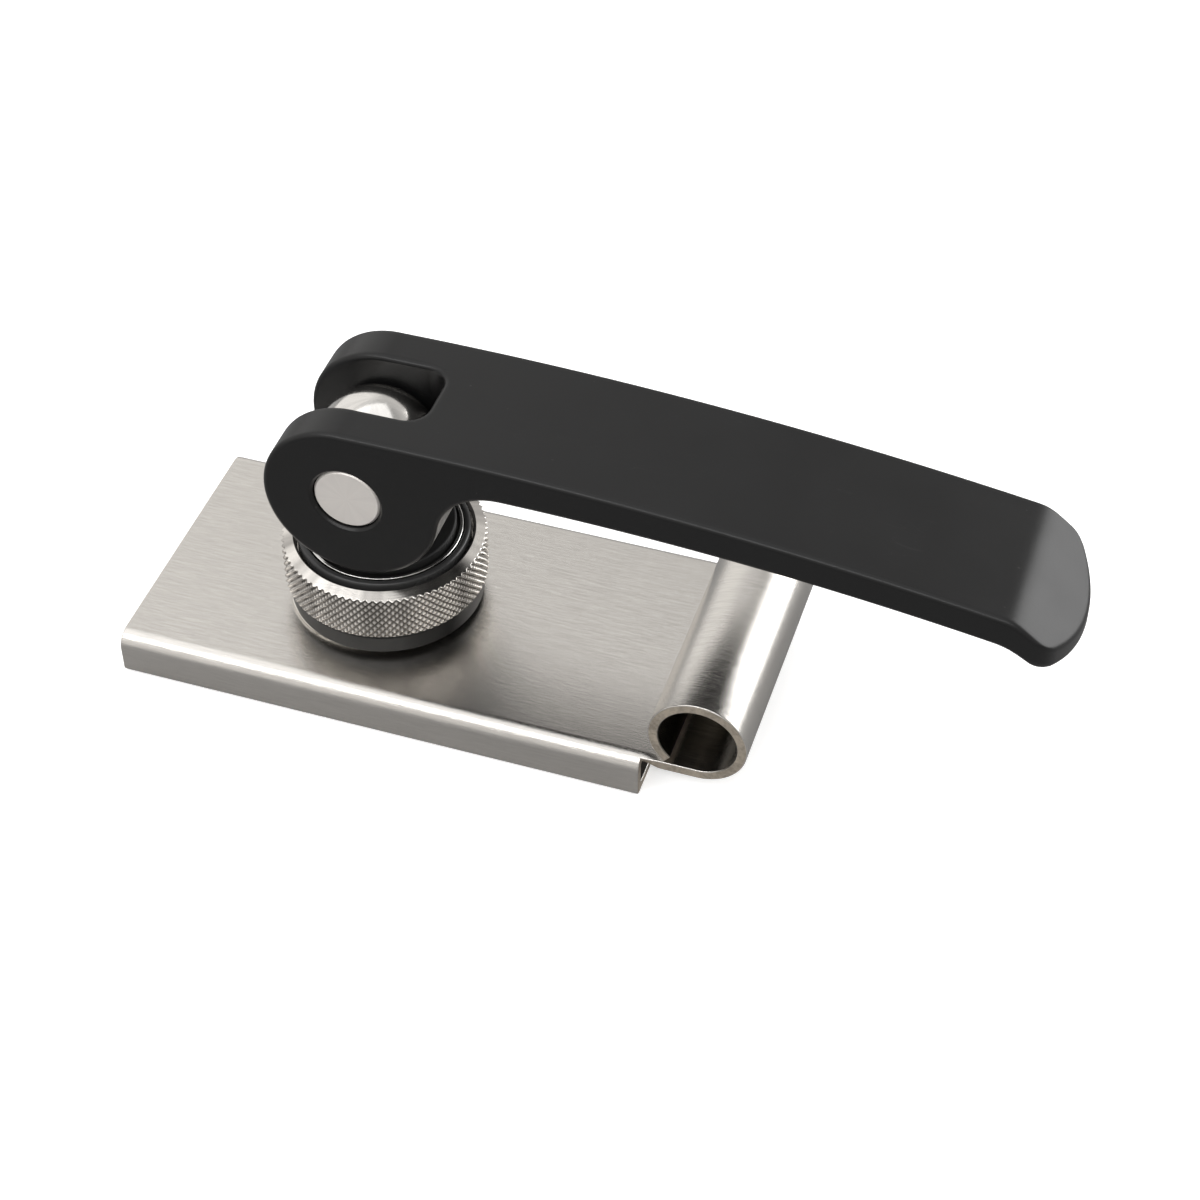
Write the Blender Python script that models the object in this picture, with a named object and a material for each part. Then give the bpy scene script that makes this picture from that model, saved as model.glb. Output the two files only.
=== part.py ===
"""Cam-lever slide of a bench can opener: a folded sheet slide with a rolled rod tube, clamped by an
eccentric lever through a knurled height adjuster.

Metres, +Z up. The slide's bottom lips stand on Z = 0 and the lever points along +X. The origin is the
middle of the whole outline's footprint, so the clamp's vertical axis stands at X = STUD_X.
"""
import math

import bmesh
import bpy
import numpy as np

MM = 0.001
GAP = 0.3 * MM  # air between neighbouring pieces

# Folded sheet slide.
SHEET = 1.5 * MM
SLIDE_LENGTH = 79.2 * MM
SLIDE_DEPTH = 43.5 * MM
SLIDE_HEIGHT = 7.0 * MM
LIP_WIDTH = 6.0 * MM
TOP_BEND = 2.4 * MM  # outer radius
LIP_BEND = 0.9 * MM  # outer radius
STUD_TO_END = 33.7 * MM  # clamp axis to the slide's square end

# Rolled tube at the end of the tongue.
TUBE_RADIUS = 7.1 * MM  # outer
TONGUE_SETBACK = 1.2 * MM  # tongue's edges stand in from the side walls
TONGUE_REACH = 8.0 * MM  # wall end to the tube's axis
ROLL_GAP = 0.3 * MM  # rolled edge to the tongue's upper face

# Clamp stack, from the slide up.
WASHER_RADIUS = 13.0 * MM
WASHER_HEIGHT = 0.5 * MM
WASHER_SLACK = 1.6 * MM  # the loose washer lies off the axis by this
FLANGE_RADIUS = 14.2 * MM
FLANGE_HEIGHT = 3.0 * MM
THREAD_RADIUS = 9.0 * MM
THREAD_HEIGHT = 4.4 * MM
SPIGOT_RADIUS = 6.8 * MM
SPIGOT_FLAT = 5.6 * MM  # axis to each flat
NUT_RADIUS = 15.0 * MM
NUT_HEIGHT = 7.9 * MM
NUT_TOP_CHAMFER = 1.7 * MM  # in radius
NUT_TOP_DROP = 0.74 * MM
NUT_EDGE = 0.35 * MM
NUT_LEDGE = 5.0 * MM  # nut's lower face to the ledge under the cup
CUP_RADIUS = 12.6 * MM
CUP_WALL = 0.95 * MM
CUP_FLOOR = 1.5 * MM
CUP_HEIGHT = 3.2 * MM
RING_WIDTH = 0.5 * MM
RING_HEIGHT = 0.55 * MM
PAD_FLANGE = 0.6 * MM
PAD_HEIGHT = 2.6 * MM

# Eye stud, pin and shoe.
STUD_RADIUS = 4.0 * MM
EYE_RADIUS = 8.9 * MM
EYE_WIDTH = 10.8 * MM
PIN_RADIUS = 4.9 * MM
PIN_RECESS = 0.4 * MM  # pin's ends lie in from the lever's cheeks
PIN_CHAMFER = 0.3 * MM
PIN_FIT = 0.15 * MM  # radial air in the lever's bores
EYE_FIT = 0.3 * MM  # radial air in the eye
BORE_CHAMFER = 0.35 * MM
SHOE_LENGTH = 24.0 * MM
SHOE_HEIGHT = 1.4 * MM
SHOE_LIFT = 2.9 * MM  # shoe's lower face above the floor
TAIL_RADIUS = 3.2 * MM
TAIL_END = 1.35 * MM  # tail's end above the floor
CLIP_HEIGHT = 0.6 * MM
CLIP_RADIUS = 5.6 * MM
GROOVE_DEPTH = 0.6 * MM

# Lever.
LEVER_REACH = 100.8 * MM  # pin to the middle of the tip
LEVER_WIDTH = 24.2 * MM
CAM_RADIUS = 13.3 * MM  # under the pin, with the lever closed
CAM_TOP = 11.55 * MM  # over the pin
NECK_FILLET = 9.5 * MM
BEAM_UNDERSIDE = 5.73 * MM  # pin to the beam's lower face at the neck
BACK_CURVE = 550.0 * MM
BELLY_CURVE = 425.0 * MM
CREST = 6.0 * MM  # pin to the back's highest point, along X
CREASE_TO_TIP = 8.0 * MM
TIP_SLOPE = 0.8
LIP_SLOPE = 0.62
LIP_START = 8.8 * MM  # lip's root to the tip
TIP_EDGE = 2.9 * MM  # height of the tip's end face
TIP_BULGE = 3.8 * MM  # the end arc's rise over the lever's corners
SLOT_END = 9.3 * MM  # pin to the slot's end
SLOT_CORNER = 3.2 * MM

ROUND = 72  # facets of a full turn

# Levels and places that follow from the sizes above.
STUD_X = -(LEVER_REACH - STUD_TO_END) / 2
END_X = STUD_X - STUD_TO_END
WALL_END_X = END_X + SLIDE_LENGTH
TUBE_X = WALL_END_X + TONGUE_REACH
HALF_DEPTH = SLIDE_DEPTH / 2
SHEET_UNDER = SLIDE_HEIGHT - SHEET
TUBE_Z = SHEET_UNDER + TUBE_RADIUS
WASHER_Z = SLIDE_HEIGHT + GAP
FLANGE_Z = WASHER_Z + WASHER_HEIGHT + GAP
FLANGE_TOP = FLANGE_Z + FLANGE_HEIGHT
NUT_Z = FLANGE_TOP + GAP
CUP_Z = NUT_Z + NUT_LEDGE + GAP
PAD_Z = CUP_Z + CUP_FLOOR + GAP
PAD_TOP = PAD_Z + PAD_HEIGHT
PIN_Z = PAD_TOP + GAP + CAM_RADIUS
STUD_BORE = STUD_RADIUS + GAP
SLOT_HALF = EYE_WIDTH / 2 + GAP
HALF_LEVER = LEVER_WIDTH / 2
PIN_HALF = HALF_LEVER - PIN_RECESS
SHOE_TOP = SHOE_LIFT + SHOE_HEIGHT


def material(name, colour, roughness, metallic):
    """A Principled material."""
    made = bpy.data.materials.new(name)
    made.use_nodes = True
    shader = made.node_tree.nodes["Principled BSDF"]
    shader.inputs["Base Color"].default_value = (*colour, 1.0)
    shader.inputs["Roughness"].default_value = roughness
    shader.inputs["Metallic"].default_value = metallic
    return made


def add(name, mesh, coat=None, at=(0.0, 0.0, 0.0)):
    """Link a mesh as an object, smooth where its facets meet gently."""
    piece = bpy.data.objects.new(name, mesh)
    bpy.context.scene.collection.objects.link(piece)
    piece.location = at
    if coat:
        mesh.materials.append(coat)
    mesh.shade_smooth()
    mesh.set_sharp_from_angle(angle=math.radians(30))
    return piece


def arc(centre, radius, start, end, steps):
    """Points of an arc between two angles in degrees, both ends included."""
    turn = np.radians(np.linspace(start, end, steps + 1))
    return [(centre[0] + radius * math.cos(a), centre[1] + radius * math.sin(a)) for a in turn]


def prism(outline, axis, low, high):
    """A closed prism: the outline's two coordinates are the axes after the given one, in X, Y, Z order."""
    first, second = [k for k in range(3) if k != axis]
    mesh = bpy.data.meshes.new("prism")
    form = bmesh.new()
    corners = []
    for u, v in outline:
        point = [0.0, 0.0, 0.0]
        point[axis] = low
        point[first] = u
        point[second] = v
        corners.append(form.verts.new(point))
    face = form.faces.new(corners)
    span = [0.0, 0.0, 0.0]
    span[axis] = high - low
    top = bmesh.ops.extrude_face_region(form, geom=[face])["geom"]
    bmesh.ops.translate(form, vec=span, verts=[v for v in top if isinstance(v, bmesh.types.BMVert)])
    bmesh.ops.recalc_face_normals(form, faces=form.faces)
    form.to_mesh(mesh)
    form.free()
    return mesh


def turned(profile, steps=ROUND):
    """A closed solid of revolution about Z from an outline of (radius, height) points.

    Points on the axis become one pole each.
    """
    mesh = bpy.data.meshes.new("turned")
    form = bmesh.new()
    rings = []
    for radius, height in profile:
        if radius < 1e-7:
            rings.append([form.verts.new((0.0, 0.0, height))] * steps)
            continue
        turn = np.linspace(0, 2 * math.pi, steps, endpoint=False)
        rings.append([form.verts.new((radius * math.cos(a), radius * math.sin(a), height)) for a in turn])
    for one, two in zip(rings, rings[1:] + rings[:1]):
        for k in range(steps):
            corners = [one[k], one[(k + 1) % steps], two[(k + 1) % steps], two[k]]
            unique = list(dict.fromkeys(corners))
            if len(unique) > 2:
                form.faces.new(unique)
    bmesh.ops.recalc_face_normals(form, faces=form.faces)
    form.to_mesh(mesh)
    form.free()
    return mesh


def cutter(name, mesh, at=(0.0, 0.0, 0.0)):
    """A hidden tool object for a Boolean."""
    tool = add(name, mesh, at=at)
    tool.hide_render = True
    tool.display_type = "WIRE"
    return tool


def combine(piece, tool, operation):
    """Add one exact Boolean to a piece."""
    step = piece.modifiers.new(operation.lower() + "_" + tool.name, "BOOLEAN")
    step.operation = operation
    step.object = tool


def side_channel(side):
    """Section of one side of the slide, in Y and Z: bend, wall, lip bend and lip."""
    outer = HALF_DEPTH
    top = arc((outer - TOP_BEND, SLIDE_HEIGHT - TOP_BEND), TOP_BEND, 90, 0, 8)
    low = arc((outer - LIP_BEND, LIP_BEND), LIP_BEND, 0, -90, 4)
    lip = [(outer - LIP_WIDTH, 0.0), (outer - LIP_WIDTH, SHEET), (outer - SHEET, SHEET)]
    inner = arc((outer - TOP_BEND, SLIDE_HEIGHT - TOP_BEND), TOP_BEND - SHEET, 0, 90, 5)
    return [(side * y, z) for y, z in top + low + lip + inner]


def roll_outline():
    """Section of the top sheet, the tongue and the roll, in X and Z."""
    stop = 180 + math.degrees(math.asin((TUBE_RADIUS - SHEET - ROLL_GAP) / TUBE_RADIUS))
    centre = (TUBE_X, TUBE_Z)
    outside = arc(centre, TUBE_RADIUS, -90, stop, 60)
    inside = arc(centre, TUBE_RADIUS - SHEET, stop, -90, 60)
    return [(END_X, SHEET_UNDER)] + outside + inside + [(END_X, SLIDE_HEIGHT)]


def slide():
    """Folded slide with its rolled tube and the keyed hole for the bush's spigot."""
    steel = material("brushed_sheet", (0.56, 0.54, 0.51), 0.34, 1.0)
    tongue = HALF_DEPTH - TONGUE_SETBACK
    plate = add("base_plate", prism(roll_outline(), 1, -tongue, tongue), steel)
    for side, label in ((-1, "front"), (1, "rear")):
        channel = prism(side_channel(side), 0, END_X, WALL_END_X)
        combine(plate, cutter("fold_" + label, channel), "UNION")
    hole = cutter("spigot_hole", keyed_disc(GAP, SHEET_UNDER - SHEET, SLIDE_HEIGHT + SHEET))
    hole.location.x = STUD_X
    combine(plate, hole, "DIFFERENCE")


def keyed_disc(margin, low, high):
    """A disc with two flats, grown by a margin all round."""
    radius = SPIGOT_RADIUS + margin
    flat = SPIGOT_FLAT + margin
    half = math.degrees(math.asin(flat / radius))
    outline = arc((0, 0), radius, -half, half, 16) + arc((0, 0), radius, 180 - half, 180 + half, 16)
    return prism(outline, 2, low, high)


def slip_washer():
    """Loose thin washer between the slide and the bush, lying off the axis."""
    bore = SPIGOT_RADIUS + WASHER_SLACK + GAP
    low = WASHER_Z
    high = WASHER_Z + WASHER_HEIGHT
    ring = [(bore, low), (WASHER_RADIUS, low), (WASHER_RADIUS, high), (bore, high)]
    steel = material("washer_steel", (0.62, 0.61, 0.59), 0.3, 1.0)
    add("slip_washer", turned(ring), steel, (STUD_X - WASHER_SLACK, 0.0, 0.0))


def threaded_bush():
    """Black flanged bush: the adjuster nut's thread above, a keyed spigot in the slide below."""
    black = material("bush_black", (0.02, 0.02, 0.022), 0.5, 0.0)
    top = FLANGE_TOP + THREAD_HEIGHT
    edge = 0.3 * MM
    body = [
        (STUD_BORE, FLANGE_Z),
        (FLANGE_RADIUS - edge, FLANGE_Z),
        (FLANGE_RADIUS, FLANGE_Z + edge),
        (FLANGE_RADIUS, FLANGE_TOP - edge),
        (FLANGE_RADIUS - edge, FLANGE_TOP),
        (THREAD_RADIUS, FLANGE_TOP),
        (THREAD_RADIUS, top - edge),
        (THREAD_RADIUS - edge, top),
        (STUD_BORE, top),
    ]
    bush = add("threaded_bush", turned(body), black, (STUD_X, 0.0, 0.0))
    spigot = cutter("bush_spigot", keyed_disc(0.0, SHEET_UNDER + GAP, FLANGE_Z + edge))
    spigot.location.x = STUD_X
    combine(bush, spigot, "UNION")
    bore = cutter("bush_bore", turned(disc(STUD_BORE, SHEET_UNDER, top + SHEET)))
    bore.location.x = STUD_X
    combine(bush, bore, "DIFFERENCE")


def disc(radius, low, high):
    """Turned outline of a plain solid disc."""
    return [(0.0, low), (radius, low), (radius, high), (0.0, high)]


def knurled_nut():
    """Steel adjuster nut: threaded bore below, counterbore for the cup above."""
    steel = material("nut_steel", (0.66, 0.64, 0.61), 0.25, 1.0)
    bore = THREAD_RADIUS + GAP
    seat = CUP_RADIUS + GAP
    rim = NUT_RADIUS - NUT_TOP_CHAMFER
    top = NUT_Z + NUT_HEIGHT
    profile = [
        (bore, NUT_Z),
        (NUT_RADIUS - NUT_EDGE, NUT_Z),
        (NUT_RADIUS, NUT_Z + NUT_EDGE),
        (NUT_RADIUS, top - NUT_TOP_DROP),
        (rim, top),
        (seat, top - (rim - seat)),
        (seat, NUT_Z + NUT_LEDGE),
        (bore, NUT_Z + NUT_LEDGE),
    ]
    add("knurled_nut", turned(profile), steel, (STUD_X, 0.0, 0.0))


def thrust_cup():
    """Black cup that carries the cam pad and turns freely in the nut."""
    black = material("cup_black", (0.02, 0.02, 0.022), 0.3, 0.0)
    inner = CUP_RADIUS - CUP_WALL
    top = CUP_Z + CUP_HEIGHT
    edge = 0.2 * MM
    profile = [
        (STUD_BORE, CUP_Z),
        (CUP_RADIUS, CUP_Z),
        (CUP_RADIUS, top - edge),
        (CUP_RADIUS - edge, top),
        (inner + edge, top),
        (inner, top - edge),
        (inner, CUP_Z + CUP_FLOOR),
        (STUD_BORE, CUP_Z + CUP_FLOOR),
    ]
    add("thrust_cup", turned(profile), black, (STUD_X, 0.0, 0.0))


def cam_pad():
    """Hard black pad that the cam lobes press on, stepped so that the ring holds it."""
    black = material("pad_black", (0.015, 0.015, 0.016), 0.4, 0.0)
    wide = CUP_RADIUS - CUP_WALL - GAP
    narrow = wide - RING_WIDTH - GAP
    profile = [
        (STUD_BORE, PAD_Z),
        (wide, PAD_Z),
        (wide, PAD_Z + PAD_FLANGE),
        (narrow, PAD_Z + PAD_FLANGE),
        (narrow, PAD_TOP - GAP),
        (narrow - GAP, PAD_TOP),
        (STUD_BORE, PAD_TOP),
    ]
    add("cam_pad", turned(profile), black, (STUD_X, 0.0, 0.0))


def pad_ring():
    """Thin bright ring sprung into the cup, over the pad's flange."""
    steel = material("ring_steel", (0.7, 0.69, 0.67), 0.2, 1.0)
    outer = CUP_RADIUS - CUP_WALL - GAP / 2
    inner = outer - RING_WIDTH
    low = PAD_Z + PAD_FLANGE + GAP
    high = low + RING_HEIGHT
    add("pad_ring", turned([(inner, low), (outer, low), (outer, high), (inner, high)]), steel,
        (STUD_X, 0.0, 0.0))


def eye_stud():
    """Stud with a ball eye, flat-sided to fit the lever's fork, and a grooved tail for the shoe."""
    steel = material("stud_steel", (0.68, 0.66, 0.63), 0.22, 1.0)
    join = -math.sqrt(EYE_RADIUS ** 2 - STUD_RADIUS ** 2)
    ball = arc((0.0, PIN_Z), EYE_RADIUS, math.degrees(math.asin(join / EYE_RADIUS)), 90, 14)[:-1]
    groove = TAIL_RADIUS - GROOVE_DEPTH
    groove_low = SHOE_LIFT - GAP - CLIP_HEIGHT - GAP
    profile = [
        (0.0, TAIL_END),
        (TAIL_RADIUS, TAIL_END),
        (TAIL_RADIUS, groove_low),
        (groove, groove_low),
        (groove, SHOE_LIFT),
        (TAIL_RADIUS, SHOE_LIFT),
        (TAIL_RADIUS, SHOE_TOP + GAP),
        (STUD_RADIUS, SHOE_TOP + GAP),
    ]
    profile += ball + [(0.0, PIN_Z + EYE_RADIUS)]
    stud = add("eye_stud", turned(profile, 48), steel, (STUD_X, 0.0, 0.0))
    slab = [(-EYE_RADIUS * 2, -EYE_WIDTH / 2), (EYE_RADIUS * 2, -EYE_WIDTH / 2),
            (EYE_RADIUS * 2, EYE_WIDTH / 2), (-EYE_RADIUS * 2, EYE_WIDTH / 2)]
    flats = cutter("eye_flats", prism(slab, 2, 0.0, PIN_Z + EYE_RADIUS * 2))
    flats.location.x = STUD_X
    combine(stud, flats, "INTERSECT")
    combine(stud, cross_bore("eye_bore", PIN_RADIUS + EYE_FIT), "DIFFERENCE")


def cross_bore(name, radius):
    """A cutter along the pin's axis, through everything."""
    return cutter(name, prism(arc((STUD_X, PIN_Z), radius, 0, 360, 64)[:-1], 1, -LEVER_WIDTH, LEVER_WIDTH))


def pivot_pin():
    """Plain chamfered cross pin, turned about the lever's axis."""
    steel = material("pin_steel", (0.63, 0.6, 0.57), 0.35, 1.0)
    flank = PIN_HALF - PIN_CHAMFER
    nose = PIN_RADIUS - PIN_CHAMFER
    profile = [(0.0, -PIN_HALF), (nose, -PIN_HALF), (PIN_RADIUS, -flank),
               (PIN_RADIUS, flank), (nose, PIN_HALF), (0.0, PIN_HALF)]
    pin = add("pivot_pin", turned(profile, 64), steel, (STUD_X, 0.0, PIN_Z))
    pin.rotation_euler = (math.radians(90), 0.0, 0.0)


def back(x):
    """Height of the lever's back over the pin, at a distance along the lever."""
    crown = CAM_TOP + CREST ** 2 / (2 * BACK_CURVE)
    return crown - (x - CREST) ** 2 / (2 * BACK_CURVE)


def lever_outline():
    """Side outline of the lever about the pin, in X and Z, anticlockwise from under the pin."""
    centre_z = BEAM_UNDERSIDE - NECK_FILLET
    centre_x = math.sqrt((CAM_RADIUS + NECK_FILLET) ** 2 - centre_z ** 2)
    meet = math.degrees(math.atan2(centre_z, centre_x))
    heel = arc((0.0, 0.0), CAM_RADIUS, -90, meet, 20)
    neck = arc((centre_x, centre_z), NECK_FILLET, 180 + meet, 90, 12)[1:]
    root = LEVER_REACH - LIP_START
    belly = [(x, BEAM_UNDERSIDE - (x - centre_x) ** 2 / (2 * BELLY_CURVE))
             for x in np.linspace(centre_x, root, 16)[1:]]
    crease = LEVER_REACH - CREASE_TO_TIP
    tip_z = back(crease) - TIP_SLOPE * CREASE_TO_TIP
    nose = [(LEVER_REACH - TIP_EDGE / 4, belly[-1][1] - LIP_SLOPE * (LIP_START - TIP_EDGE / 4)),
            (LEVER_REACH, tip_z - TIP_EDGE / 2),
            (LEVER_REACH, tip_z - TIP_EDGE / 8)]
    blend = [(crease + d, (back(crease - abs(d)) if d < 0 else back(crease) - TIP_SLOPE * d) - drop)
             for d, drop in ((1.6 * MM, 0.0), (0.6 * MM, 0.08 * MM), (-0.4 * MM, 0.12 * MM), (-1.6 * MM, 0.0))]
    spine = [(x, back(x)) for x in np.linspace(crease, 0.0, 24)[1:]]
    fall = np.linspace(math.pi, 0.0, 49)[1:-1]
    cam = [(-cam_radius(a) * math.sin(a), -cam_radius(a) * math.cos(a)) for a in fall]
    return heel + neck + belly + nose + blend + spine + cam


def cam_radius(angle):
    """Cam radius at an angle from under the pin, falling evenly towards the back."""
    return CAM_RADIUS - (CAM_RADIUS - CAM_TOP) * angle / math.pi


def lever_plan():
    """Plan of the lever about the pin, in X and Y: straight sides and a bowed end."""
    bow = (HALF_LEVER ** 2 + TIP_BULGE ** 2) / (2 * TIP_BULGE)
    spread = math.degrees(math.asin(HALF_LEVER / bow))
    end = arc((LEVER_REACH - bow, 0.0), bow, -spread, spread, 24)
    return end + [(-LEVER_WIDTH, HALF_LEVER), (-LEVER_WIDTH, -HALF_LEVER)]


def slot_plan():
    """Plan of the fork's slot, open at the heel, with rounded corners at its end."""
    inner = SLOT_END - SLOT_CORNER
    side = SLOT_HALF - SLOT_CORNER
    low = arc((inner, -side), SLOT_CORNER, -90, 0, 6)
    high = arc((inner, side), SLOT_CORNER, 0, 90, 6)
    return [(-LEVER_WIDTH, -SLOT_HALF)] + low + high + [(-LEVER_WIDTH, SLOT_HALF)]


def lever():
    """Cast lever: a forked double cam that carries the pin, and a bowed handle with a turned-down tip."""
    black = material("lever_black", (0.028, 0.028, 0.03), 0.42, 0.0)
    body = add("lever", prism(lever_outline(), 1, -LEVER_WIDTH, LEVER_WIDTH), black, (STUD_X, 0.0, PIN_Z))
    reach = LEVER_WIDTH * 2
    for name, plan, operation in (("lever_plan", lever_plan(), "INTERSECT"),
                                  ("lever_slot", slot_plan(), "DIFFERENCE")):
        tool = cutter(name, prism(plan, 2, PIN_Z - reach, PIN_Z + reach))
        tool.location.x = STUD_X
        combine(body, tool, operation)
    combine(body, cross_bore("pin_bore", PIN_RADIUS + PIN_FIT), "DIFFERENCE")
    rim = PIN_RADIUS + PIN_FIT + BORE_CHAMFER
    for side, label in ((-1, "front"), (1, "rear")):
        cone = [(0.0, HALF_LEVER - rim), (rim + BORE_CHAMFER, HALF_LEVER + BORE_CHAMFER),
                (0.0, HALF_LEVER + BORE_CHAMFER)]
        tool = cutter("bore_mouth_" + label, turned(cone, 64), (STUD_X, 0.0, PIN_Z))
        tool.rotation_euler = (math.radians(-90 * side), 0.0, 0.0)
        combine(body, tool, "DIFFERENCE")


def clamp_shoe():
    """Flat steel shoe that rides inside the channel and is drawn up under the top sheet."""
    steel = material("shoe_steel", (0.5, 0.49, 0.47), 0.4, 1.0)
    half = SHOE_LENGTH / 2
    side = HALF_DEPTH - SHEET - GAP
    corner = 2.0 * MM
    outline = []
    for cx, cy, start in ((half, side, 0), (-half, side, 90), (-half, -side, 180), (half, -side, 270)):
        centre = (STUD_X + cx - math.copysign(corner, cx), cy - math.copysign(corner, cy))
        outline += arc(centre, corner, start, start + 90, 4)
    shoe = add("clamp_shoe", prism(outline, 2, SHOE_LIFT, SHOE_TOP), steel)
    bore = cutter("shoe_bore", turned(disc(TAIL_RADIUS + GAP, 0.0, SLIDE_HEIGHT), 48))
    bore.location.x = STUD_X
    combine(shoe, bore, "DIFFERENCE")


def shoe_clip():
    """Open snap ring in the tail's groove, under the shoe."""
    steel = material("clip_steel", (0.3, 0.3, 0.31), 0.4, 1.0)
    inner = TAIL_RADIUS - GROOVE_DEPTH + GAP
    opening = 35
    outline = arc((STUD_X, 0.0), CLIP_RADIUS, opening, 360 - opening, 40)
    outline += arc((STUD_X, 0.0), inner, 360 - opening, opening, 40)
    high = SHOE_LIFT - GAP
    add("shoe_clip", prism(outline, 2, high - CLIP_HEIGHT, high), steel)


for old in list(bpy.data.objects):
    bpy.data.objects.remove(old)
slide()
slip_washer()
threaded_bush()
knurled_nut()
thrust_cup()
cam_pad()
pad_ring()
eye_stud()
pivot_pin()
lever()
clamp_shoe()
shoe_clip()
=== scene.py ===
import math

import bmesh
import bpy
import numpy as np
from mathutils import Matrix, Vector


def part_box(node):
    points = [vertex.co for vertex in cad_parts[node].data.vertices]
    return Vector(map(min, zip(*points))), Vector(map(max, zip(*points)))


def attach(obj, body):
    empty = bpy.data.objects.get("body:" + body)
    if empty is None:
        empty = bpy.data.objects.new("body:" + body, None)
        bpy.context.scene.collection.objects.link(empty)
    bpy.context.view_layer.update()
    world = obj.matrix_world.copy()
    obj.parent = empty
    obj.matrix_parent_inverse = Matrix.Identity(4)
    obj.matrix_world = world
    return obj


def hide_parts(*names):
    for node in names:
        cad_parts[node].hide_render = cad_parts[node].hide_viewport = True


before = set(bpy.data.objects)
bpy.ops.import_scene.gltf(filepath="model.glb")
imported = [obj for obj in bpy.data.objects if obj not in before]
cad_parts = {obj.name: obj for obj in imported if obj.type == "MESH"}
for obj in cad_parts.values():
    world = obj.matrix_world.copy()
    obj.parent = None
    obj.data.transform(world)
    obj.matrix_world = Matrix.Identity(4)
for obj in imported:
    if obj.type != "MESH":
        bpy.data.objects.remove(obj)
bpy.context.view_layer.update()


# Slide
# One piece of 1.5 mm stainless sheet, brushed along its length: walls and lips are folded down along both
# sides, and a narrower tongue at one end is rolled into a tube. A keyed hole takes the adjuster's bush.

MM = 0.001
SHEET = 1.5
SLIDE_LENGTH = 79.2
SLIDE_HEIGHT = 7.0
LIP_WIDTH = 6.0
TOP_BEND = 2.4  # outer radius
LIP_BEND = 0.9  # outer radius
LIP_INNER = 0.3  # inner radius
TONGUE_SETBACK = 1.2
TUBE_RADIUS = 7.1
ROLL_GAP = 0.3
FLATTEN = 3.0  # length over which the tongue loses the walls' bend
CUT_ROUND = 0.16  # rounding of the sheared edges
HOLE_RADIUS = 7.1
HOLE_FLAT = 5.9  # axis to each flat of the keyed hole
HOLE_BLOCK = 9.5  # half side of the square of sheet around the hole
STEEL = (0.66, 0.635, 0.60)
CUT_STEEL = (0.47, 0.415, 0.345)
# Painted shade inside the rolled tube: its colour and how far it darkens.
TUBE_SHADE = (0.1, 0.085, 0.06)
TUBE_SHADE_SHARE = 0.78
GRAIN_STRETCH = (420.0, 7500.0, 7500.0)


def corners(node):
    """A frame node's lowest and highest corner, in millimetres."""
    return [np.array(corner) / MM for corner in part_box(node)]


slide_low, slide_high = corners("base_plate")
bush_low, bush_high = corners("threaded_bush")
stud_x = (bush_low[0] + bush_high[0]) / 2
stud_axis = (stud_x, 0.0, 0.0)


def place(tree, kind, inputs=None, **settings):
    """Add a node: settings are its own properties, and inputs are values or sockets to link from."""
    made = tree.nodes.new(kind)
    for name, value in settings.items():
        setattr(made, name, value)
    for key, value in (inputs or {}).items():
        if isinstance(value, bpy.types.NodeSocket):
            tree.links.new(value, made.inputs[key])
        else:
            made.inputs[key].default_value = value
    return made


def effect(name, inputs, outputs):
    """An empty node group with named sockets; returns it with its input and output nodes."""
    group = bpy.data.node_groups.new(name, "ShaderNodeTree")
    for label, kind, value in inputs:
        socket = group.interface.new_socket(label, in_out="INPUT", socket_type="NodeSocket" + kind)
        socket.default_value = value
    for label, kind in outputs:
        group.interface.new_socket(label, in_out="OUTPUT", socket_type="NodeSocket" + kind)
    return group, group.nodes.new("NodeGroupInput").outputs, group.nodes.new("NodeGroupOutput").inputs


def mixed(tree, low, high, factor):
    """A colour between two, by a factor socket."""
    blend = place(tree, "ShaderNodeMix", {"Factor": factor}, data_type="RGBA")
    blend.inputs[6].default_value = (*low, 1.0)
    blend.inputs[7].default_value = (*high, 1.0)
    return blend.outputs[2]


def ranged(tree, value, low, high, start=0.0, end=1.0):
    """A value socket moved from the range start..end to low..high."""
    return place(tree, "ShaderNodeMapRange", {"Value": value, "From Min": start, "From Max": end,
                                              "To Min": low, "To Max": high}).outputs[0]


def noise(tree, vector, scale, detail, roughness=0.5):
    """A noise texture's value at a vector socket, about 0 to 1."""
    return place(tree, "ShaderNodeTexNoise", {"Vector": vector, "Scale": scale, "Detail": detail,
                                              "Roughness": roughness}).outputs["Fac"]


def maths(tree, operation, *values, clamp=False):
    """The result of one sum on values or sockets."""
    return place(tree, "ShaderNodeMath", dict(enumerate(values)), operation=operation,
                 use_clamp=clamp).outputs[0]


def grain_effect():
    """Brushed grain: noise on coordinates stretched along the brushing, as fine lines over broad streaks."""
    group, given, out = effect(
        "brushed_grain",
        [("Vector", "Vector", (0, 0, 0)), ("Stretch", "Vector", (60, 2500, 2500))],
        [("Lines", "Float"), ("Streaks", "Float")],
    )
    drawn = place(group, "ShaderNodeVectorMath", {0: given["Vector"], 1: given["Stretch"]},
                  operation="MULTIPLY").outputs[0]
    group.links.new(noise(group, drawn, 1.0, 4.0, 0.7), out["Lines"])
    group.links.new(noise(group, drawn, 0.4, 3.0, 0.6), out["Streaks"])
    return group


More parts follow.
